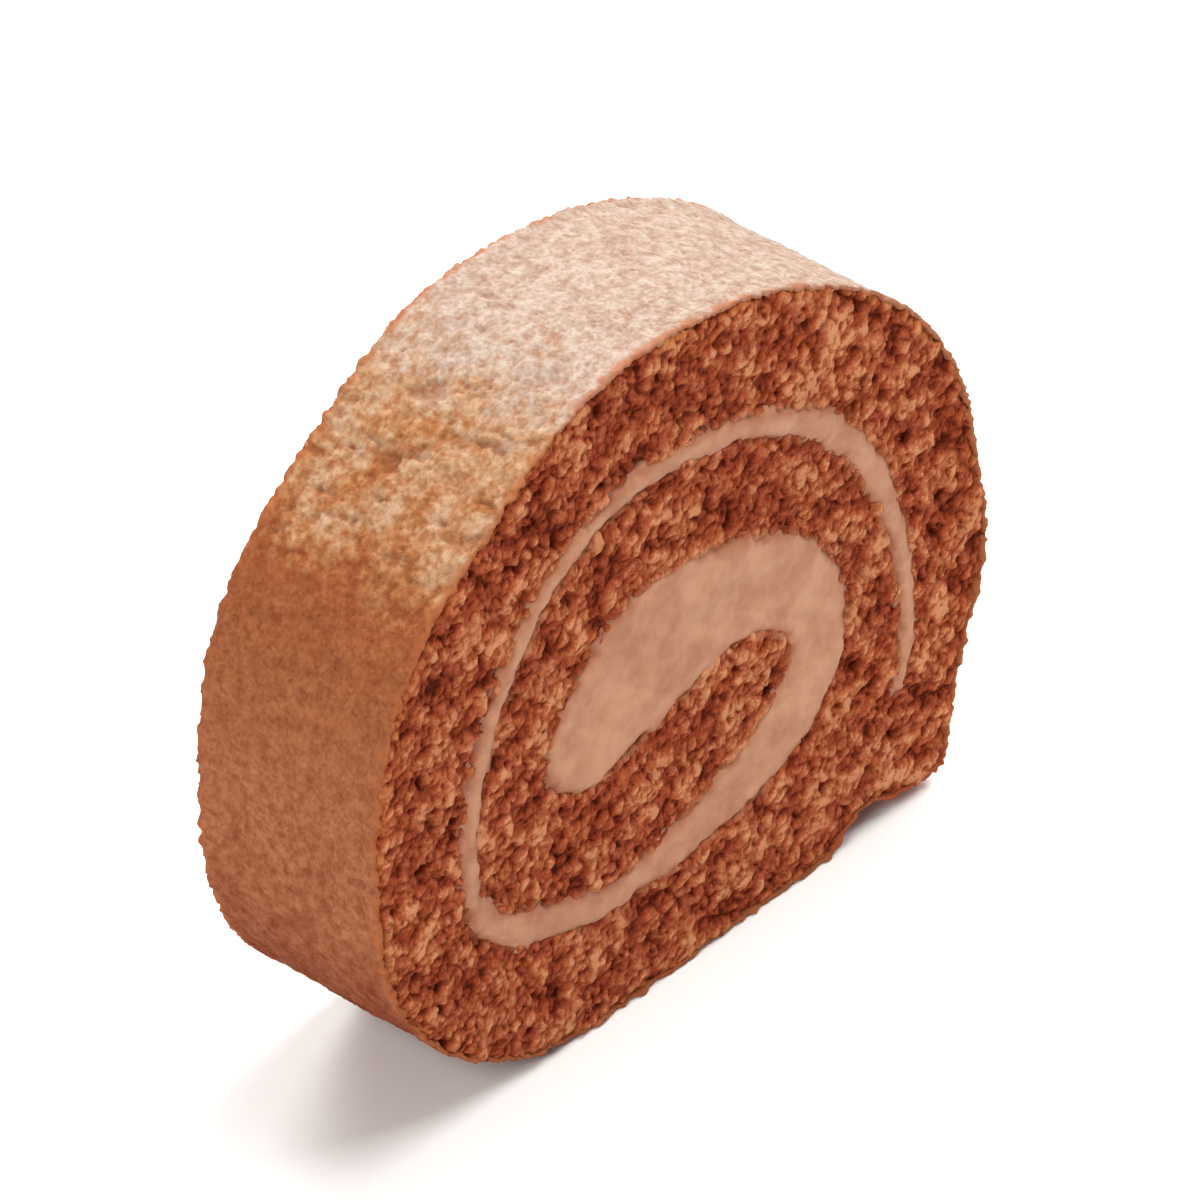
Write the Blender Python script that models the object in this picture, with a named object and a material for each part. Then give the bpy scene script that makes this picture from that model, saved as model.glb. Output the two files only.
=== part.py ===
"""A slice of chocolate Swiss roll, standing on its flattened underside.

One sheet of sponge is rolled up round one ribbon of cream. The roll's axis lies along Y, so both cut
faces are flat and face -Y and +Y. The origin is on the ground, under the middle of the slice.
"""

import bmesh
import bpy
import numpy as np

# Driving dimensions, in metres.
SLICE_WIDTH = 0.080
SLICE_HEIGHT = 0.068
SLICE_THICKNESS = 0.021
CREAM_CLEARANCE = 0.0003  # between the sponge and the cream, all round the ribbon
SEAM_GAP = 0.0004  # between the sheet's outer end and the turn it is pressed against

# How finely the curves are drawn.
STEPS_PER_SPAN = 6  # straight facets between two points that a curve passes through
TIP_STEPS = 13  # facets round the inner tip of the cream
CREASE_ANGLE = np.radians(40)  # edges sharper than this stay sharp when shaded

# Points are shares of the half width (x) and of the height (z), seen on the face at -Y.
# The skin runs anticlockwise from the outer end of the sheet, over the top, to where it meets the ground.
SKIN = [
    (0.875, 0.025),
    (0.905, 0.125),
    (0.945, 0.215),
    (0.990, 0.290),
    (1.000, 0.375),
    (0.975, 0.465),
    (0.930, 0.588),
    (0.812, 0.727),
    (0.628, 0.844),
    (0.430, 0.919),
    (0.190, 0.976),
    (-0.090, 1.000),
    (-0.355, 0.984),
    (-0.622, 0.892),
    (-0.858, 0.776),
    (-0.972, 0.640),
    (-1.000, 0.465),
    (-0.968, 0.300),
    (-0.812, 0.142),
    (-0.620, 0.053),
    (-0.450, 0.013),
    (-0.300, 0.000),
]
# Under the roll: the flat that it rests on, then the hollow beside the sheet's cut end.
REST_END = (0.500, 0.000)
HOLLOW = [(0.530, 0.022), (0.570, 0.038)]
CUT_END = [(0.675, 0.022), (0.750, 0.019), (0.830, 0.015)]

# The seam climbs from the hollow to the outer end of the cream.
SEAM = [(0.625, 0.040), (0.668, 0.116)]
# The cream, from its outer end inwards: x, z, and how thick the ribbon is there in metres.
CREAM = [
    (0.704, 0.198, 0.0008),
    (0.724, 0.252, 0.0016),
    (0.732, 0.310, 0.0016),
    (0.714, 0.390, 0.0020),
    (0.682, 0.470, 0.0024),
    (0.612, 0.570, 0.0024),
    (0.494, 0.664, 0.0026),
    (0.337, 0.736, 0.0022),
    (0.125, 0.784, 0.0020),
    (-0.100, 0.803, 0.0020),
    (-0.312, 0.783, 0.0019),
    (-0.474, 0.724, 0.0019),
    (-0.586, 0.633, 0.0019),
    (-0.668, 0.528, 0.0018),
    (-0.698, 0.425, 0.0017),
    (-0.690, 0.337, 0.0018),
    (-0.622, 0.273, 0.0026),
    (-0.462, 0.222, 0.0030),
    (-0.250, 0.192, 0.0028),
    (-0.075, 0.195, 0.0038),
    (0.100, 0.217, 0.0054),
    (0.287, 0.261, 0.0072),
    (0.420, 0.345, 0.0072),
    (0.400, 0.440, 0.0074),
    (0.250, 0.513, 0.0092),
    (0.050, 0.535, 0.0125),
    (-0.150, 0.518, 0.0152),
    (-0.310, 0.470, 0.0112),
]


def clear_scene():
    for item in list(bpy.data.objects):
        bpy.data.objects.remove(item, do_unlink=True)


def placed(shares):
    """Shares of the half width and of the height, as metres. A third number is in metres already."""
    points = np.array(shares, float)
    points[:, :2] *= (SLICE_WIDTH / 2, SLICE_HEIGHT)
    return points


def spline_slopes(knots, values):
    """Slopes at the knots of the natural cubic spline through the values."""
    gaps = np.diff(knots)
    rises = np.diff(values, axis=0) / gaps[:, None]
    count = len(knots)
    system = np.zeros((count, count))
    right = np.zeros_like(values)
    inner = np.arange(1, count - 1)
    system[inner, inner - 1] = gaps[1:]
    system[inner, inner] = 2 * (gaps[:-1] + gaps[1:])
    system[inner, inner + 1] = gaps[:-1]
    right[inner] = 3 * (rises[:-1] * gaps[1:, None] + rises[1:] * gaps[:-1, None])
    system[0, :2] = system[-1, -2:] = 2, 1
    system[-1, -2:] = 1, 2
    right[0] = 3 * rises[0]
    right[-1] = 3 * rises[-1]
    return np.linalg.solve(system, right)


def smooth_curve(points):
    """A natural cubic spline through the points, with the same number of steps in each span.

    The first two columns are a place. Any further column is a width that changes as smoothly.
    """
    lengths = np.linalg.norm(np.diff(points[:, :2], axis=0), axis=1)
    knots = np.concatenate([[0], np.cumsum(lengths)])
    slopes = spline_slopes(knots, points)
    share = np.arange(STEPS_PER_SPAN) / STEPS_PER_SPAN
    t = np.tile(share, len(points) - 1)[:, None]
    span = np.repeat(np.arange(len(points) - 1), STEPS_PER_SPAN)
    gap = lengths[span][:, None]
    curve = (
        points[span] * (1 + 2 * t) * (1 - t) ** 2
        + slopes[span] * gap * t * (1 - t) ** 2
        + points[span + 1] * (3 - 2 * t) * t**2
        + slopes[span + 1] * gap * (t - 1) * t**2
    )
    return np.vstack([curve, points[-1:]])


def left_normals(path):
    """Unit vectors that point to the left of the way the path runs."""
    tangents = np.gradient(path, axis=0)
    tangents /= np.linalg.norm(tangents, axis=1)[:, None]
    return np.column_stack([-tangents[:, 1], tangents[:, 0]])


def round_tip(path, normals, half_width):
    """The half circle that closes a ribbon at its last point, from its left side to its right."""
    angles = np.linspace(np.pi / 2, -np.pi / 2, TIP_STEPS + 2)[1:-1, None]
    left = normals[-1]
    ahead = np.array([left[1], -left[0]])
    return path[-1] + half_width * (np.cos(angles) * ahead + np.sin(angles) * left)


def ribbon_sides(path, widths):
    """The left side, the round tip and the right side (run backwards) of a ribbon along the path."""
    normals = left_normals(path)
    reach = normals * widths[:, None] / 2
    tip = round_tip(path, normals, widths[-1] / 2)
    return np.vstack([path + reach, tip, (path - reach)[::-1]])


def rolled_ribbon(clearance):
    """The line between the turns of sponge, from the hollow inwards, with the width of the gap there."""
    seam = [(x, z, SEAM_GAP) for x, z in SEAM]
    filled = [(x, z, thickness + 2 * clearance) for x, z, thickness in CREAM]
    ribbon = smooth_curve(placed(seam + filled))
    ribbon[:, 2] = np.maximum(ribbon[:, 2], SEAM_GAP)
    return ribbon


def cream_outline():
    """The ribbon of cream, as one closed line."""
    ribbon = rolled_ribbon(CREAM_CLEARANCE)[len(SEAM) * STEPS_PER_SPAN :]
    return ribbon_sides(ribbon[:, :2], ribbon[:, 2] - 2 * CREAM_CLEARANCE)


def sponge_outline():
    """The rolled sheet: its cut end, skin and rest, and the channel for the cream, as one closed line."""
    channel = rolled_ribbon(CREAM_CLEARANCE)
    skin = smooth_curve(placed(SKIN))
    rest = placed([REST_END] + HOLLOW)
    sides = ribbon_sides(channel[:, :2], channel[:, 2])
    return np.vstack([placed(CUT_END), skin, rest, sides])


def principled(name, colour, roughness):
    material = bpy.data.materials.new(name)
    material.use_nodes = True
    shader = material.node_tree.nodes["Principled BSDF"]
    shader.inputs["Base Color"].default_value = (*colour, 1)
    shader.inputs["Roughness"].default_value = roughness
    shader.inputs["Metallic"].default_value = 0
    return material


def prism(name, outline, material):
    """A closed anticlockwise outline carried straight through the slice, from one cut face to the other."""
    mesh = bpy.data.meshes.new(name)
    work = bmesh.new()
    front = [work.verts.new((x, -SLICE_THICKNESS / 2, z)) for x, z in outline]
    face = work.faces.new(front)
    swept = bmesh.ops.extrude_face_region(work, geom=[face])
    far_side = [item for item in swept["geom"] if isinstance(item, bmesh.types.BMVert)]
    bmesh.ops.translate(work, verts=far_side, vec=(0, SLICE_THICKNESS, 0))
    bmesh.ops.recalc_face_normals(work, faces=work.faces[:])
    bmesh.ops.triangulate(work, faces=work.faces[:])
    work.to_mesh(mesh)
    work.free()
    mesh.shade_smooth()
    mesh.set_sharp_from_angle(angle=CREASE_ANGLE)
    mesh.materials.append(material)
    slab = bpy.data.objects.new(name, mesh)
    bpy.context.scene.collection.objects.link(slab)
    return slab


def build():
    clear_scene()
    sponge_finish = principled("chocolate sponge", (0.30, 0.10, 0.045), 0.9)
    cream_finish = principled("cocoa cream", (0.61, 0.28, 0.17), 0.6)
    prism("sponge", sponge_outline(), sponge_finish)
    prism("cream", cream_outline(), cream_finish)


build()
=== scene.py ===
import math

import bpy
import numpy as np
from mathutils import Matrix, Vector
from mathutils.geometry import delaunay_2d_cdt


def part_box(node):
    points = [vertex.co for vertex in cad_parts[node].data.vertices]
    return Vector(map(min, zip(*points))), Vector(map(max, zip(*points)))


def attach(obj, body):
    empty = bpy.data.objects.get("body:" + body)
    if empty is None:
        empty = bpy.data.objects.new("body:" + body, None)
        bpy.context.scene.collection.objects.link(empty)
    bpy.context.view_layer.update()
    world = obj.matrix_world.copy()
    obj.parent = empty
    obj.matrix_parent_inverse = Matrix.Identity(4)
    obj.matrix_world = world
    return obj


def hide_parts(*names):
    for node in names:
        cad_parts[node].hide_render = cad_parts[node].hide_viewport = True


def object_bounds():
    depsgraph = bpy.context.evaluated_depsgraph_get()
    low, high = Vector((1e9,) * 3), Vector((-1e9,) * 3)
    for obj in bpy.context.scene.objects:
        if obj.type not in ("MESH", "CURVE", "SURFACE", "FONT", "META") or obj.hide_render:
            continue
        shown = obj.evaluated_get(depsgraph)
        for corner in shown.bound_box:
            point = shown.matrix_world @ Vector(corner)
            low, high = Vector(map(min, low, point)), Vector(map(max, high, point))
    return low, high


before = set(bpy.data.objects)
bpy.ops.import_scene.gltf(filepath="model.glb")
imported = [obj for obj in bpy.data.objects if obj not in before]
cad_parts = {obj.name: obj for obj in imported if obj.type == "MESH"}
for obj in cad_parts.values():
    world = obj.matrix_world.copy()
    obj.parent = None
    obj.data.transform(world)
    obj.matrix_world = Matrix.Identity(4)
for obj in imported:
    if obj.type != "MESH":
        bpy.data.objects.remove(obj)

# A slice of chocolate Swiss roll. The roll's axis is Y, and it stands on z = 0 with a cut face at each end
# of Y. Shapes are worked out in millimetres and go into the meshes in metres.
cadLow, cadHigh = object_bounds()
metre = 0.001  # one millimetre, in metres
spongeLow, spongeHigh = (np.array(corner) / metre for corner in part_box("sponge"))
faceY = spongeHigh[1]  # the cut faces are this far in front of and behind the middle
middle = np.array([0.0, 0.45 * spongeHigh[2]])  # a point inside the roll that sees all of its skin


# A random number from 0 to 1 for each cell of a grid: each whole coordinate is mixed in by exclusive or, and
# the bits are spread by x ^ (x >> 31), times an odd number, and x ^ (x >> 29).
def scatter(cell, seed):
    mixed = np.full(cell.shape[:-1], seed * 2654435769 % 2**32, np.uint64)
    for axis in range(cell.shape[-1]):
        mixed = mixed ^ (cell[..., axis].astype(np.int64).astype(np.uint64) * np.uint64(11400714819323198485))
        mixed = (mixed ^ (mixed >> np.uint64(31))) * np.uint64(13787848793156543929)
        mixed = mixed ^ (mixed >> np.uint64(29))
    return (mixed >> np.uint64(40)).astype(float) / 2**24


# Smooth noise from -1 to 1: random numbers at the corners of cells of this size, blended by
# 6t^5 - 15t^4 + 10t^3 of the place t within the cell.
def softNoise(points, size, seed):
    scaled = points / size
    base = np.floor(scaled)
    share = scaled - base
    share = share**3 * (share * (6 * share - 15) + 10)
    total = np.zeros(len(points))
    for corner in np.ndindex(*(2,) * points.shape[1]):
        weight = np.where(corner, share, 1 - share).prod(axis=1)
        total += weight * scatter(base + corner, seed)
    return 2 * total - 1


# Noise with finer noise on it: each layer has half the cell size and 0.55 of the height of the one before.
def roughNoise(points, size, seed, layers=3):
    heights = 0.55 ** np.arange(layers)
    parts = [h * softNoise(points, size / 2**i, seed + i) for i, h in enumerate(heights)]
    return sum(parts) / heights.sum()


# Points scattered one to a cell: how far the nearest and the second nearest are, in cells, and the nearest's
# own random number from 0 to 1.
def scatteredCells(points, size, seed):
    scaled = points / size
    base = np.floor(scaled)
    near = np.full(len(points), 9.0)
    second = near.copy()
    mark = np.zeros(len(points))
    dimensions = points.shape[1]
    for shift in np.ndindex(*(3,) * dimensions):
        cell = base + np.array(shift) - 1
        centre = cell + np.stack([scatter(cell, seed + axis) for axis in range(dimensions)], axis=1)
        gap = np.linalg.norm(scaled - centre, axis=1)
        closer = gap < near
        second = np.where(closer, near, np.minimum(second, gap))
        mark = np.where(closer, scatter(cell, seed + 7), mark)
        near = np.where(closer, gap, near)
    return near, second, mark


# 0 below low, 1 above high, and 3t^2 - 2t^3 between them.
def ease(value, low, high):
    t = np.clip((value - low) / (high - low), 0, 1)
    return t * t * (3 - 2 * t)


# The edges round a node's face at -Y, as x and z: those that only one of that face's triangles has.
def capEdges(nodeName):
    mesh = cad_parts[nodeName].data
    mesh.calc_loop_triangles()
    points = np.empty(len(mesh.vertices) * 3)
    mesh.vertices.foreach_get("co", points)
    corners = np.empty(len(mesh.loop_triangles) * 3, int)
    mesh.loop_triangles.foreach_get("vertices", corners)
    triangles = points.reshape(-1, 3)[corners.reshape(-1, 3)] / metre
    onCap = (triangles[..., 1] < triangles[..., 1].min() + 0.01).all(axis=1)
    flat = triangles[onCap][..., [0, 2]]
    places, index = np.unique(np.round(flat.reshape(-1, 2), 3), axis=0, return_inverse=True)
    index = index.reshape(-1, 3)
    pairs = np.sort(np.concatenate([index[:, [0, 1]], index[:, [1, 2]], index[:, [2, 0]]]), axis=1)
    pairs, count = np.unique(pairs, axis=0, return_counts=True)
    return places[pairs[count == 1]]


# How far points are from a closed line: the least distance |p - a - t(b - a)| to any edge from a to b, with
# t from 0 to 1. It is negative inside, where a ray to the right crosses an odd number of edges.
def distanceTo(points, edges):
    a, b = edges[None, :, 0], edges[None, :, 1]
    run = b - a
    rise = np.where(run[..., 1] == 0, 1, run[..., 1])
    found = []
    for p in np.array_split(points[:, None], len(points) * len(edges) // 2000000 + 1):
        share = np.clip(((p - a) * run).sum(-1) / (run * run).sum(-1), 0, 1)
        gap = np.linalg.norm(p - a - share[..., None] * run, axis=-1).min(axis=1)
        spans = (a[..., 1] > p[..., 1]) != (b[..., 1] > p[..., 1])
        toTheLeft = p[..., 0] < a[..., 0] + (p[..., 1] - a[..., 1]) * run[..., 0] / rise
        found.append(np.where((spans & toTheLeft).sum(axis=1) % 2 == 1, -gap, gap))
    return np.concatenate(found)


# The outer line, anticlockwise: the furthest edge that each ray from the middle meets, then points at even
# lengths, then rounded by a bell curve so that the CAD's flats don't show.
def outerLine(edges, count, rounding):
    angle = np.linspace(0, 2 * np.pi, 8 * count, endpoint=False) - np.pi / 2
    ray = np.stack([np.cos(angle), np.sin(angle)], axis=1)[:, None]
    start = edges[None, :, 0] - middle
    run = edges[None, :, 1] - edges[None, :, 0]
    across = ray[..., 0] * run[..., 1] - ray[..., 1] * run[..., 0]
    across = np.where(np.abs(across) < 1e-9, 1e-9, across)
    reach = (start[..., 0] * run[..., 1] - start[..., 1] * run[..., 0]) / across
    share = (start[..., 0] * ray[..., 1] - start[..., 1] * ray[..., 0]) / across
    reach = np.where((share >= 0) & (share <= 1), reach, 0).max(axis=1)
    line = middle + ray[:, 0] * reach[:, None]
    line = evenly(line, count)
    waves = np.fft.fftfreq(count, loopLength(line) / count)
    bell = np.exp(-2 * (np.pi * rounding * waves) ** 2)
    line = np.fft.ifft(np.fft.fft(line, axis=0) * bell[:, None], axis=0).real
    return evenly(line, count)


def loopLength(line):
    return np.linalg.norm(np.roll(line, -1, axis=0) - line, axis=1).sum()


# A closed line's points put at even distances along it.
def evenly(line, count):
    closed = np.vstack([line, line[:1]])
    along = np.concatenate([[0], np.cumsum(np.linalg.norm(np.diff(closed, axis=0), axis=1))])
    wanted = np.linspace(0, along[-1], count, endpoint=False)
    return np.stack([np.interp(wanted, along, closed[:, axis]) for axis in range(2)], axis=1)


# Unit vectors that point out of an anticlockwise closed line.
def outwards(line):
    run = np.roll(line, -1, axis=0) - np.roll(line, 1, axis=0)
    run /= np.linalg.norm(run, axis=1)[:, None]
    return np.stack([run[:, 1], -run[:, 0]], axis=1)


# A mesh object from points in millimetres, its faces and any numbers that its material reads at each point.
def makePiece(name, points, faces, values, material):
    mesh = bpy.data.meshes.new(name)
    mesh.from_pydata(points * metre, [], faces)
    for valueName, value in values.items():
        layer = mesh.attributes.new(valueName, "FLOAT", "POINT")
        layer.data.foreach_set("value", np.asarray(value, np.float32))
    mesh.shade_smooth()
    mesh.materials.append(material)
    piece = bpy.data.objects.new(name, mesh)
    bpy.context.scene.collection.objects.link(piece)
    print(name, len(mesh.polygons), "faces")
    return piece


# Colours are written as sRGB hex and go to the shader linear.
def linear(hexColour):
    channels = np.array([int(hexColour[i : i + 2], 16) for i in (1, 3, 5)]) / 255
    return (*np.where(channels <= 0.04045, channels / 12.92, ((channels + 0.055) / 1.055) ** 2.4), 1.0)


# Adds a node, sets its properties and its sockets, and joins each socket that is given another node's output.
# A socket is given by its name with _ for each space, or by i and its number where names repeat.
def addNode(tree, kind, settings=None, **sockets):
    node = tree.nodes.new("ShaderNode" + kind)
    for key, value in (settings or {}).items():
        setattr(node, key, value)
    for key, value in sockets.items():
        socket = node.inputs[int(key[1:]) if key[1:].isdigit() else key.replace("_", " ")]
        if isinstance(value, bpy.types.NodeSocket):
            tree.links.new(value, socket)
        else:
            socket.default_value = value
    return node


def newMaterial(name):
    material = bpy.data.materials.new(name)
    material.use_nodes = True
    material.node_tree.nodes.clear()
    return material, material.node_tree


# A colour ramp through hex colours at the given places, which are in order.
def colourRamp(tree, factor, stops):
    ramp = addNode(tree, "ValToRGB", Fac=factor)
    elements = ramp.color_ramp.elements
    for place, _ in stops[1:-1]:
        elements.new(place)
    for element, (place, colour) in zip(elements, stops):
        element.position = place
        element.color = linear(colour)
    return ramp.outputs["Color"]


def mixColours(tree, factor, first, second, blend="MIX"):
    settings = {"data_type": "RGBA", "blend_type": blend}
    return addNode(tree, "Mix", settings, i0=factor, i6=first, i7=second).outputs[2]


def calculate(tree, operation, first, second=0.0, third=0.0, clamp=False):
    settings = {"operation": operation, "use_clamp": clamp}
    return addNode(tree, "Math", settings, i0=first, i1=second, i2=third).outputs[0]


# (value - 0.5) times an amount, for noise that adds as much as it takes away.
def centred(tree, value, amount):
    return calculate(tree, "MULTIPLY_ADD", value, amount, -amount / 2)


def attributeValue(tree, name):
    return addNode(tree, "Attribute", {"attribute_name": name}).outputs["Fac"]


# Noise on Object coordinates, with a cell size in millimetres.
def noiseValue(tree, size, detail=3.0, roughness=0.55):
    place = addNode(tree, "TexCoord").outputs["Object"]
    scale = 1 / (size * metre)
    noise = addNode(tree, "TexNoise", Vector=place, Scale=scale, Detail=detail, Roughness=roughness)
    return noise.outputs["Fac"]


# A matt surface with this colour, roughness and shine, and noise of this height in mm as its bump.
def mattShader(tree, colour, roughness, shine, height, strength, depth):
    bump = addNode(tree, "Bump", Strength=strength, Distance=depth * metre, Height=height).outputs[0]
    shader = addNode(tree, "BsdfPrincipled", Base_Color=colour, Roughness=roughness, Normal=bump)
    shader.inputs["Specular IOR Level"].default_value = shine
    addNode(tree, "OutputMaterial", Surface=shader.outputs[0])


# Sponge crumb: baked cocoa sponge, torn open by the knife. It is dry and matt. Its colour runs from pit to
# tip
# with the relief: painted shade, darker and redder, in the pores and gaps, and painted highlight on the
# grains.
crumbLook = {
    "pit": "#632512", "low": "#8c3a1f", "mid": "#a65032", "high": "#bd6c47", "tip": "#d89970",
    "rim": "#b8682f",       # thin baked edge where the crumb meets the skin
    "smear": "#ad7350",     # cream rubbed into the crumb beside it
    "patch": 4.5,           # mm, patches a little redder or browner
    "speck": 0.32,          # mm, finest crumbs
    "speckTone": 0.8,       # how much they lighten and darken the grains
    "rimShare": 0.75, "smearShare": 0.8,
    "roughness": 0.95, "shine": 0.1,
    "bump": (0.9, 0.4),     # strength, and height in mm
}


def crumbMaterial():
    look = crumbLook
    material, tree = newMaterial("cocoaSpongeCrumb")
    paintedShadeTone = attributeValue(tree, "paintedShadeTone")
    speck = noiseValue(tree, look["speck"], 2.0)
    paintedShadeTone = calculate(tree, "ADD", paintedShadeTone, centred(tree, speck, look["speckTone"]))
    # pit to tip: painted shade in the pores and gaps, painted highlight on the high grains
    stops = zip((0.0, 0.25, 0.5, 0.75, 1.0), ("pit", "low", "mid", "high", "tip"))
    colour = colourRamp(tree, paintedShadeTone, [(place, look[name]) for place, name in stops])
    patch = noiseValue(tree, look["patch"], 2.0)
    warm = colourRamp(tree, patch, [(0.35, "#f2e4dc"), (0.65, "#fff6ee")])
    colour = mixColours(tree, 1.0, colour, warm, "MULTIPLY")
    rim = calculate(tree, "MULTIPLY", attributeValue(tree, "rim"), look["rimShare"])
    colour = mixColours(tree, rim, colour, linear(look["rim"]))
    smear = calculate(tree, "MULTIPLY", attributeValue(tree, "smear"), look["smearShare"])
    colour = mixColours(tree, smear, colour, linear(look["smear"]))
    height = noiseValue(tree, look["speck"], 4.0, 0.65)
    mattShader(tree, colour, look["roughness"], look["shine"], height, *look["bump"])
    return material


# Baked skin: the sheet's own surface as it came out of the oven, rolled outwards. It is dry and fine, like
# suede. Its colour follows the way it faces: palest on top, partly a paler bake and partly painted sheen and
# highlight, and browner, redder and darker down the sides and underneath, partly painted shade.
skinLook = {
    # under to top go by the way the skin faces: painted shade underneath, painted sheen and highlight on top
    "under": "#86401f", "side": "#ab6c4a", "shoulder": "#a35f39", "tan": "#b27a4e", "bloomAndSheen": "#c19b78",
    "top": "#bca99a",
    # painted shade: the skin is darkened to this colour in its pores, creases and deeper grain
    "pore": "#7a4126",      # pores and creases
    "edge": "#a65e38",      # the baked edge beside the cuts
    "crumb": "#a34d2d",     # the sheet's cut end, which has no skin
    "patch": 4.0,           # mm, lighter and darker patches
    "mottle": 1.1,          # mm, mottling within the patches
    "speck": 0.4,           # mm, finest grain
    "patchShift": 0.3, "mottleShift": 0.18,    # how far they move the colours' borders
    "roughness": 0.9, "shine": 0.12,
    "bump": (0.6, 0.15),    # strength, and height in mm
}


def skinMaterial():
    look = skinLook
    material, tree = newMaterial("bakedSpongeSkin")
    speck = noiseValue(tree, look["speck"], 3.0)
    patch = noiseValue(tree, look["patch"], 4.0, 0.6)
    mottle = noiseValue(tree, look["mottle"], 2.0)
    uneven = calculate(tree, "ADD", centred(tree, patch, look["patchShift"]),
                       centred(tree, mottle, look["mottleShift"]))
    up = calculate(tree, "ADD", attributeValue(tree, "up"), uneven)
    # the colour by facing, with painted shade underneath and painted sheen on top
    stops = zip((0.05, 0.33, 0.69, 0.75, 0.81, 0.92), ("under", "side", "shoulder", "tan", "bloomAndSheen", "top"))
    colour = colourRamp(tree, up, [(place, look[name]) for place, name in stops])
    grain = calculate(tree, "MULTIPLY_ADD", mottle, 0.8, calculate(tree, "MULTIPLY_ADD", speck, 0.8, -0.3))
    grain = colourRamp(tree, grain, [(0.3, "#d2bcae"), (0.7, "#ffffff")])
    colour = mixColours(tree, 1.0, colour, grain, "MULTIPLY")
    # painted shade in the pores, creases and deeper grain
    colour = mixColours(tree, attributeValue(tree, "pore"), colour, linear(look["pore"]))
    brokenUp = calculate(tree, "ADD", mottle, 0.25)
    edge = calculate(tree, "MULTIPLY", attributeValue(tree, "edge"), brokenUp, clamp=True)
    colour = mixColours(tree, edge, colour, linear(look["edge"]))
    colour = mixColours(tree, attributeValue(tree, "bare"), colour, linear(look["crumb"]))
    height = noiseValue(tree, look["speck"], 4.0, 0.65)
    mattShader(tree, colour, look["roughness"], look["shine"], height, *look["bump"])
    return material


# Cocoa cream: whipped cream with a little cocoa, cut flush with the sponge. Soft and matt, nearly even in
# colour.
creamLook = {
    "body": "#a9704e", "light": "#bf8a67", "stain": "#98573a",
    "patch": 3.0,           # mm, patches of lighter cream
    "grain": 0.6,           # mm, finest unevenness
    "roughness": 0.6, "shine": 0.35,
    "bump": (0.3, 0.08),    # strength, and height in mm
}


def creamMaterial():
    look = creamLook
    material, tree = newMaterial("cocoaCream")
    patch = noiseValue(tree, look["patch"], 4.0)
    colour = colourRamp(tree, patch, [(0.35, look["body"]), (0.65, look["light"])])
    colour = mixColours(tree, attributeValue(tree, "stain"), colour, linear(look["stain"]))
    height = noiseValue(tree, look["grain"], 3.0)
    mattShader(tree, colour, look["roughness"], look["shine"], height, *look["bump"])
    return material


# The cut face's grid, and how far each of its points is from the skin's line and from the cream.
faceStep = 0.21  # mm between the grid's points
spongeEdges = capEdges("sponge")
creamEdges = capEdges("cream")
skinCount = 1040  # points round the skin
skinLine = outerLine(spongeEdges, skinCount, 0.7)    # 0.7 mm of rounding
skinEdges = np.stack([skinLine, np.roll(skinLine, -1, axis=0)], axis=1)
gridX = np.arange(spongeLow[0] - 1, spongeHigh[0] + 1, faceStep)
gridZ = np.arange(spongeLow[2] - 1, spongeHigh[2] + 1, faceStep)
facePlace = np.stack(np.meshgrid(gridX, gridZ, indexing="ij"), axis=-1).reshape(-1, 2)
toSkin = distanceTo(facePlace, skinEdges)
toCream = distanceTo(facePlace, creamEdges)
print("face grid", len(facePlace), "points")


# The way a distance grows fastest at each of the grid's points, as unit vectors.
def slopeOf(distance):
    slope = np.stack(np.gradient(distance.reshape(len(gridX), len(gridZ)), faceStep), axis=-1).reshape(-1, 2)
    return slope / np.maximum(np.linalg.norm(slope, axis=1), 1e-6)[:, None]


# Moves marked points to where a distance is zero, along its slope.
def snapped(places, distance, marked):
    return np.where(marked[:, None], places - slopeOf(distance) * distance[:, None], places)


# Which of the grid's squares have all four corners kept, leaving out any that touch another by a corner
# alone.
def keptSquares(kept):
    k = kept.reshape(len(gridX), len(gridZ))
    square = k[:-1, :-1] & k[1:, :-1] & k[1:, 1:] & k[:-1, 1:]
    for _ in range(3):
        a, b, c, d = square[:-1, :-1], square[1:, :-1], square[1:, 1:], square[:-1, 1:]
        oneWay, otherWay = a & c & ~b & ~d, b & d & ~a & ~c
        square[:-1, :-1] &= ~oneWay
        square[1:, :-1] &= ~otherWay
    return square


# Squares as four point numbers each, anticlockwise from the low corner.
def cornersOf(square):
    number = np.arange(len(gridX) * len(gridZ)).reshape(len(gridX), len(gridZ))
    corners = np.stack([number[:-1, :-1], number[1:, :-1], number[1:, 1:], number[:-1, 1:]], axis=-1)
    return corners[square]


# The edges that only one square has, in the way that square runs.
def rimEdges(squares):
    directed = np.concatenate([squares[:, [i, (i + 1) % 4]] for i in range(4)])
    _, first, count = np.unique(np.sort(directed, axis=1), axis=0, return_index=True, return_counts=True)
    return directed[first[count == 1]]


# Gives the kept points new numbers from 0, in their old order.
def renumber(squares):
    used = np.unique(squares)
    place = np.zeros(used[-1] + 1, int)
    place[used] = np.arange(len(used))
    return used, place


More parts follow.
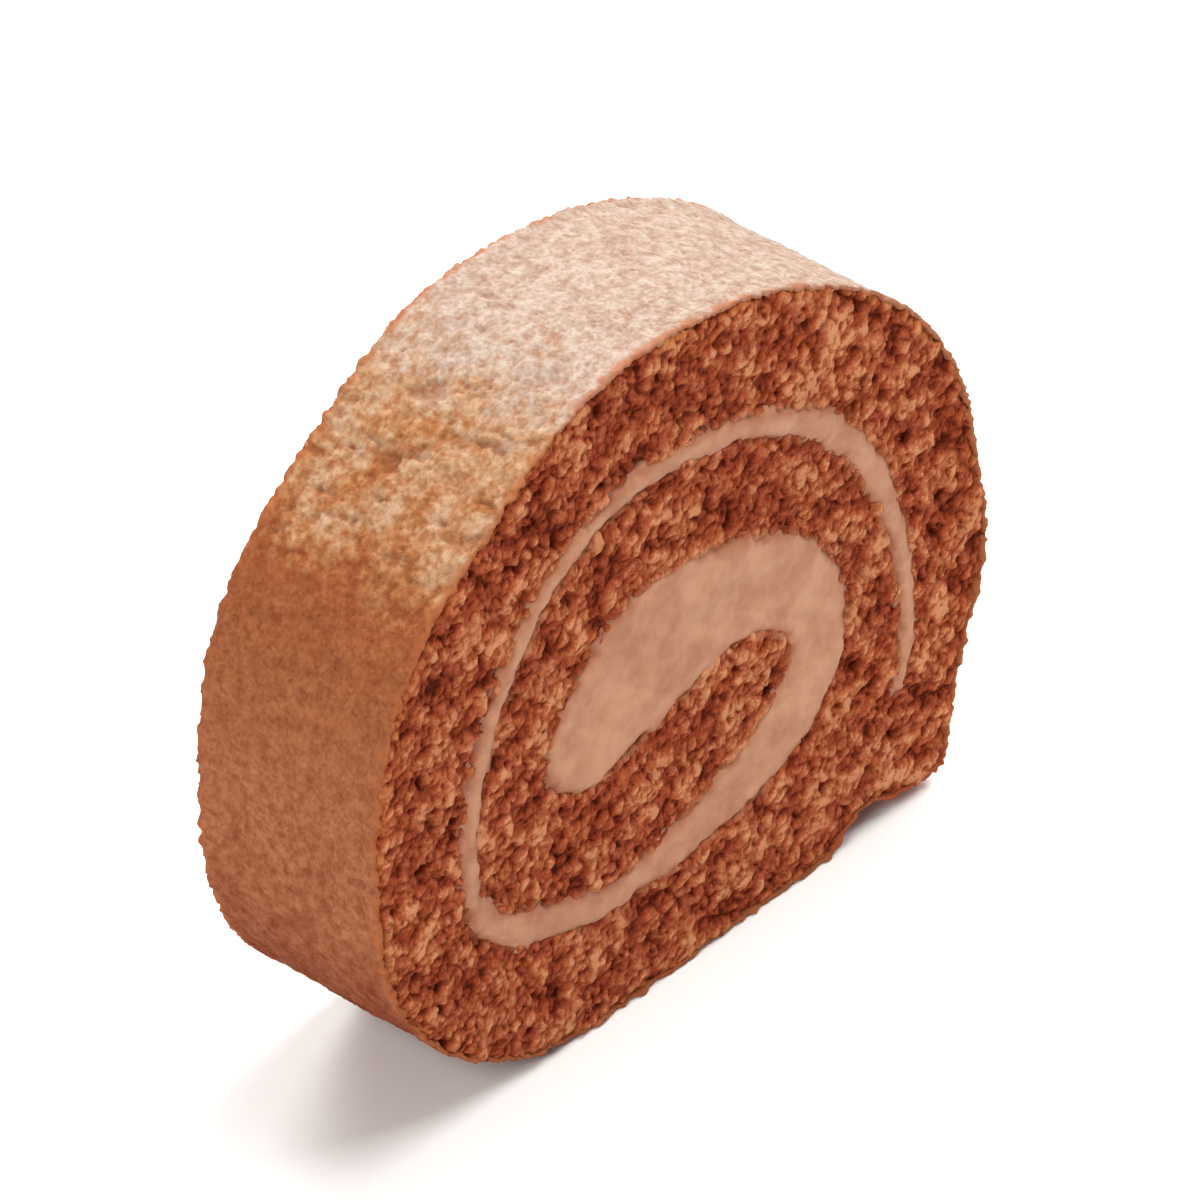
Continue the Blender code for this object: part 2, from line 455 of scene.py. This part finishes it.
# Crumb relief, as depth under the knife's plane in mm: grains of uneven height with gaps between them,
# small pores, a few larger holes, each a bowl 1 - (r/R)^2, and torn unevenness of several sizes. ln(1 +
# e^4x)/4 keeps all of it under the plane. The crumb's colour value goes from 0 in a pit to 1 on a grain,
# following the depth: painted shade in pits, gaps and holes, and painted highlight on the higher grains.
crumbShape = {
    "bend": 0.3,                       # mm, how far the grains' shapes are bent
    "grain": 1.25, "gap": 0.22,        # mm across a grain, mm deep between grains
    "step": 0.3,                       # mm between grains' heights
    "pore": 0.8, "poreDepth": 0.32, "poreShare": 0.6,
    "hole": 2.6, "holeDepth": 0.9, "holeShare": 0.2,
    "torn": 0.45, "fine": 0.32,        # mm, unevenness of 2.4 mm and 0.9 mm cells
    "sunk": 0.3,                       # mm, how far the crumb's middle height is under the knife's plane
    "dip": 0.5,                        # mm that the crumb sinks beside the cream
    "round": 0.5,                      # mm that the crumb sinks at the skin
    "skinInset": 0.3,                  # mm of skin outside the crumb
    "creamInset": 0.6,                 # mm that the crumb reaches under the cream's edge
}
# how much each feature darkens or lightens the crumb's colour: painted shade in hollows, painted highlight on
# high grains
crumbPaintedShade = {"level": 0.72, "step": 0.35, "gap": 0.28, "pore": 0.35, "hole": 0.35, "torn": 0.6, "fine": 0.3}


def crumbRelief(place, toSkin, toCream, seed):
    s, t = crumbShape, crumbPaintedShade
    bend = np.stack([roughNoise(place, 1.5, seed + 90, 2), roughNoise(place, 1.5, seed + 95, 2)], axis=1)
    bent = place + 2 * s["bend"] * bend
    near, second, mark = scatteredCells(bent, s["grain"], seed)
    gap = 1 - ease(second - near, 0.0, 0.45)
    poreNear, _, poreMark = scatteredCells(bent, s["pore"], seed + 20)
    pore = np.clip(1 - (poreNear / (0.3 + 0.4 * poreMark)) ** 2, 0, 1) * (poreMark < s["poreShare"])
    holeNear, _, holeMark = scatteredCells(bent, s["hole"], seed + 40)
    hole = np.clip(1 - (holeNear / (0.2 + 0.2 * holeMark / s["holeShare"])) ** 2, 0, 1) ** 0.7
    hole *= holeMark < s["holeShare"]
    torn = roughNoise(bent, 2.4, seed + 60, 4)
    fine = roughNoise(place, 0.9, seed + 70, 3)
    depth = s["sunk"] + s["gap"] * gap + s["poreDepth"] * pore + s["holeDepth"] * hole
    depth += s["step"] * (mark - 0.5)
    depth += s["torn"] * torn + s["fine"] * fine
    depth = np.log1p(np.exp(4 * depth)) / 4    # soft floor at the knife's plane
    # painted shade and highlight: darker where the relief sinks, lighter on the higher grains
    paintedShadeTone = t["level"] + t["step"] * (0.5 - mark) - t["gap"] * gap - t["pore"] * pore - t["hole"] * hole
    paintedShadeTone = paintedShadeTone - t["torn"] * torn - t["fine"] * fine
    beside = toCream + 0.45 * roughNoise(place, 1.8, seed + 80)
    depth += s["dip"] * (1 - ease(beside, -0.5, 0.35))
    smear = (1 - ease(beside, 0.0, 0.9)) * np.clip(0.3 + softNoise(place, 0.9, seed + 85), 0, 1)
    edge = -toSkin + 0.8 * roughNoise(place, 1.4, seed + 87)
    depth += s["round"] * (1 - ease(edge, 0.1, 1.3))
    rim = (1 - ease(edge, 0.3, 1.6)) * ease(paintedShadeTone, 0.3, 0.8)
    return depth, {"paintedShadeTone": paintedShadeTone, "smear": smear, "rim": rim}


# Half of the sponge: a cut face of fine relief at one end, a plain face at the roll's middle, and walls
# between them along the skin and the cream.
def spongeHalf(name, side, seed, material):
    outside = toSkin + crumbShape["skinInset"] * (1 + 1.6 * np.abs(roughNoise(facePlace, 1.3, seed + 3, 2)))
    inCream = -toCream - crumbShape["creamInset"]
    kept = (outside < 0) & (inCream < 0)
    square = keptSquares(kept)
    squares = cornersOf(square)
    rim = rimEdges(squares)
    onRim = np.zeros(len(kept), bool)
    onRim[rim] = True
    place = snapped(facePlace, outside, onRim & (outside > -2 * faceStep))
    place = snapped(place, inCream, onRim & (inCream > -2 * faceStep))
    used, number = renumber(squares)
    place = place[used]
    depth, values = crumbRelief(place, toSkin[used], toCream[used], seed)
    face = np.stack([place[:, 0], side * (faceY - depth), place[:, 1]], axis=1)
    squares, rim = number[squares], number[rim]
    rimPoints = np.unique(rim)
    count, ring = len(used), len(rimPoints)
    local = np.zeros(count, int)
    local[rimPoints] = np.arange(ring)
    underSkin = (1 - ease(-toSkin[used][rimPoints], 0.8, 2.0))[:, None]
    rings = []
    # each ring of the wall is this far behind the face, and under the skin it is this far inwards, in mm
    for back, lean in ((1.1, 0.3), (2.2, 1.6), (faceY, 1.6)):
        tucked = place[rimPoints] - lean * underSkin * slopeOf(toSkin)[used][rimPoints]
        ringY = np.full(len(tucked), side * (faceY - back))
        rings.append(np.stack([tucked[:, 0], ringY, tucked[:, 1]], axis=1))
    edges = [(rim[:, i], *(count + ring * j + local[rim[:, i]] for j in range(3))) for i in (0, 1)]
    walls = [np.stack([edges[1][i], edges[0][i], edges[0][i + 1], edges[1][i + 1]], axis=1) for i in range(3)]
    rimGrid = facePlace[used][rimPoints]    # on the plain grid the rim's edges can't cross
    plain = delaunay_2d_cdt([Vector(p) for p in rimGrid.tolist()], local[rim].tolist(), [], 1, 1e-6)
    plain = np.array(plain[2])
    cell = np.floor((rimGrid[plain].mean(axis=1) - facePlace[0]) / faceStep).astype(int)
    plain = count + 2 * ring + plain[square[cell[:, 0], cell[:, 1]]]
    faces = squares.tolist() + np.vstack(walls).tolist() + plain[:, ::-1].tolist()
    if side > 0:
        faces = [f[::-1] for f in faces]
    values = {k: np.concatenate([v] + 3 * [v[rimPoints]]) for k, v in values.items()}
    return makePiece(name, np.vstack([face, *rings]), faces, values, material)


# Skin relief, as depth under the skin's line in mm: fine grain, pores, short creases that run along the
# roll, a rough band where the top turns down to the left, and slow lumps. pore is 1 in a pore or a crease,
# and more where the grain is deeper; the skin's colour paints shade where it is high.
skinShape = {
    "edgeThickness": 0.3,              # mm at the cuts, and three times that between them
    "across": 84,                      # steps from one cut face to the other
    "lump": 0.35, "grain": 0.42, "crease": 0.34, "pore": 0.22,
    "ragged": 0.9,                     # mm, how uneven its cut edges are
    "roughPlace": (-0.58, 0.9),        # the rough band, in shares of half the width and of the height
    "roughDepth": 0.35,
    "upwards": [0.35, 0.94],           # the way that the palest skin faces
}


def skinRelief(points, along, seed):
    s = skinShape
    lump = roughNoise(points, 8.0, seed)
    grain = roughNoise(points, 1.0, seed + 10, 3)
    poreNear, _, poreMark = scatteredCells(points, 1.0, seed + 20)
    pore = np.clip(1 - (poreNear / (0.2 + 0.25 * poreMark)) ** 2, 0, 1) * (poreMark < 0.45)
    bend = roughNoise(points, 2.0, seed + 30, 2)
    stretched = np.stack([along + 1.2 * bend, points[:, 1] / 2.2 + bend], axis=1)
    crease = ease(roughNoise(stretched, 1.3, seed + 40, 2), 0.22, 0.6)
    share = points[:, [0, 2]] / [spongeHigh[0], spongeHigh[2]]
    roughBand = np.exp(-((share - s["roughPlace"]) ** 2).sum(axis=1) / 0.03)
    crease *= 0.35 + 0.65 * roughBand
    depth = s["lump"] * (0.5 + 0.5 * lump) + s["grain"] * (0.5 + 0.5 * grain) + s["pore"] * pore
    rough = 0.5 + 0.5 * roughNoise(points, 1.4, seed + 60, 2)
    depth += s["crease"] * crease + s["roughDepth"] * roughBand * rough
    return depth, np.clip(0.4 * pore + 0.5 * crease + 0.25 * grain * (grain > 0), 0, 1)


# The skin: a band round the roll's line. Its profile goes over the outside from one cut face to the other,
# round the edge and back along the inside.
def skinBand(name, seed, material):
    s = skinShape
    normal = outwards(skinLine)
    along = np.arange(skinCount) * loopLength(skinLine) / skinCount
    outer = np.linspace(-1, 1, s["across"] + 1)
    inside = [(1, 0.5), (1, 1), (0.7, 3), (0.2, 3), (-0.2, 3), (-0.7, 3), (-1, 1), (-1, 0.5)]
    profile = np.array([(y, 0.0) for y in outer] + inside)
    steps = len(profile)
    shareY = np.tile(profile[:, 0], skinCount)
    inward = np.tile(profile[:, 1], skinCount) * s["edgeThickness"]
    line = np.repeat(skinLine, steps, axis=0)
    out = np.repeat(normal, steps, axis=0)
    reach = np.repeat(along, steps)
    edgePlace = np.column_stack([line, np.sign(shareY) * 20])
    cut = s["ragged"] * (0.5 + 0.5 * roughNoise(edgePlace, 0.9, seed + 50)) + 0.05
    points = np.column_stack([line[:, 0], shareY * (faceY - cut), line[:, 1]])
    depth, pore = skinRelief(points, reach, seed)
    toCut = faceY - np.abs(points[:, 1])
    depth *= 0.35 + 0.65 * ease(toCut, 0.5, 2.5)
    depth += 0.55 * (1 - ease(toCut, 0.3, 1.5)) * np.abs(roughNoise(points, 1.0, seed + 80, 2))
    points[:, [0, 2]] -= out * (depth + inward)[:, None]
    # how far each point faces up and to the right; the skin's colour ramp paints sheen on top and shade
    # underneath
    up = 0.5 + 0.5 * (out @ s["upwards"])
    edge = 1 - ease(toCut + 0.8 * roughNoise(points, 1.2, seed + 70, 2), 0.4, 1.3)
    edge = np.where(inward > 0, 1, edge)
    bare = ease(points[:, 0], 18.5, 21.0) * (1 - ease(points[:, 2], 1.8, 3.6))    # the sheet's cut end
    number = np.arange(len(points)).reshape(skinCount, steps)
    nextRow = np.roll(number, -1, axis=0)
    faces = np.stack([number, np.roll(number, -1, axis=1), np.roll(nextRow, -1, axis=1), nextRow], axis=-1)
    values = {"up": up, "pore": pore, "edge": edge, "bare": bare}
    return makePiece(name, points, faces.reshape(-1, 4).tolist(), values, material)


# The cream: the same grid's squares inside the ribbon, on both cut faces, with walls through the slice. It
# sinks at its edges, where the crumb's own relief comes up through it. all in mm; outset is how far the
# cream reaches out under the crumb's edge
creamShape = {"outset": 0.75, "sunk": 0.3, "dip": 0.5, "wave": 0.22, "grain": 0.08, "streak": 0.04}


def creamRelief(place, toCream, seed):
    s = creamShape
    wave = roughNoise(place, 3.5, seed, 3)
    grain = roughNoise(place, 0.7, seed + 10, 2)
    along = place @ np.array([[0.82, 0.57], [-0.57, 0.82]])
    streak = roughNoise(along / [7.0, 0.7], 1.0, seed + 40, 2)    # the knife's drag marks
    beside = toCream + 0.6 * roughNoise(place, 2.0, seed + 20)
    depth = s["sunk"] + s["wave"] * wave + s["grain"] * grain + s["streak"] * streak
    depth += s["dip"] * ease(beside, -0.5, 0.5)
    stain = ease(beside, -1.2, 0.4) * np.clip(0.5 + 0.7 * roughNoise(place, 0.9, seed + 30), 0, 1)
    # a little darker where the drag marks and waves sink deeper
    stain += 0.15 * ease(streak + 0.6 * wave, 0.15, 0.7)
    return np.maximum(depth, 0.02), {"stain": stain}


def creamRibbon(name, seed, material):
    outside = toCream - creamShape["outset"]
    squares = cornersOf(keptSquares(outside < 0))
    rim = rimEdges(squares)
    onRim = np.zeros(len(facePlace), bool)
    onRim[rim] = True
    used, number = renumber(squares)
    place = snapped(facePlace, outside, onRim)[used]
    points, values = [], []
    for side in (-1, 1):
        depth, value = creamRelief(place, toCream[used], seed + side)
        points.append(np.stack([place[:, 0], side * (faceY - depth), place[:, 1]], axis=1))
        values.append(value["stain"])
    squares, rim = number[squares], number[rim]
    back = len(used)
    walls = np.stack([rim[:, 1], rim[:, 0], rim[:, 0] + back, rim[:, 1] + back], axis=1)
    faces = np.vstack([squares, squares[:, ::-1] + back, walls])
    return makePiece(name, np.vstack(points), faces.tolist(), {"stain": np.concatenate(values)}, material)


crumb = crumbMaterial()
for name, side, seed in (("spongeFront", -1, 11), ("spongeBack", 1, 23)):
    half = spongeHalf(name, side, seed, crumb)
    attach(half, "root")
    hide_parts("sponge")
skin = skinBand("spongeSkin", 37, skinMaterial())
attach(skin, "root")
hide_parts("sponge")
cream = creamRibbon("creamRibbon", 53, creamMaterial())
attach(cream, "root")
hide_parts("cream")
print("pieces made")

# A plain pale table, lit from above the cut face, with a light behind that skims the top and a weaker one
# at the side.
stageLook = {
    "floor": "#f4f2ef", "world": 0.28,
    "key": (12.0, 0.8, (0.35, -0.12, 0.97)),        # watts, size and place in metres
    "back": (11.0, 0.5, (0.45, 0.8, 0.6)),
    "fill": (5.0, 0.35, (-0.75, -0.25, 0.65)),
}


def addLamp(name, power, size, place, target):
    data = bpy.data.lights.new(name, "AREA")
    data.energy = power
    data.size = size
    lamp = bpy.data.objects.new(name, data)
    lamp.location = place
    lamp.rotation_euler = (target - Vector(place)).to_track_quat("-Z", "Y").to_euler()
    bpy.context.scene.collection.objects.link(lamp)


def buildStage(target):
    look = stageLook
    material, tree = newMaterial("paleTable")
    shader = addNode(tree, "BsdfPrincipled", Base_Color=linear(look["floor"]), Roughness=0.9)
    addNode(tree, "OutputMaterial", Surface=shader.outputs[0])
    mesh = bpy.data.meshes.new("floor")
    mesh.from_pydata([(-4, -4, 0), (4, -4, 0), (4, 4, 0), (-4, 4, 0)], [], [(0, 1, 2, 3)])
    mesh.materials.append(material)
    floor = bpy.data.objects.new("floor", mesh)
    bpy.context.scene.collection.objects.link(floor)
    world = bpy.data.worlds.new("studio")
    bpy.context.scene.world = world
    world.use_nodes = True
    world.node_tree.nodes["Background"].inputs["Color"].default_value = linear("#ffffff")
    world.node_tree.nodes["Background"].inputs["Strength"].default_value = look["world"]
    addLamp("key", *look["key"], target)
    addLamp("back", *look["back"], target)
    addLamp("fill", *look["fill"], target)


# The camera stands to the left of the cut face and looks down on it.
view = {"azimuth": -49.0, "elevation": 36.6, "distance": 1.062, "lens": 375.0}


def addCamera(target):
    turn, tilt = math.radians(view["azimuth"]), math.radians(view["elevation"])
    back = Vector((math.sin(turn) * math.cos(tilt), -math.cos(turn) * math.cos(tilt), math.sin(tilt)))
    data = bpy.data.cameras.new("camera")
    data.lens = view["lens"]
    camera = bpy.data.objects.new("camera", data)
    camera.location = target + back * view["distance"]
    camera.rotation_euler = (-back).to_track_quat("-Z", "Y").to_euler()
    bpy.context.scene.collection.objects.link(camera)
    bpy.context.scene.camera = camera


centre = (cadLow + cadHigh) / 2
buildStage(centre)
addCamera(centre)
bpy.context.scene.view_settings.view_transform = "Standard"
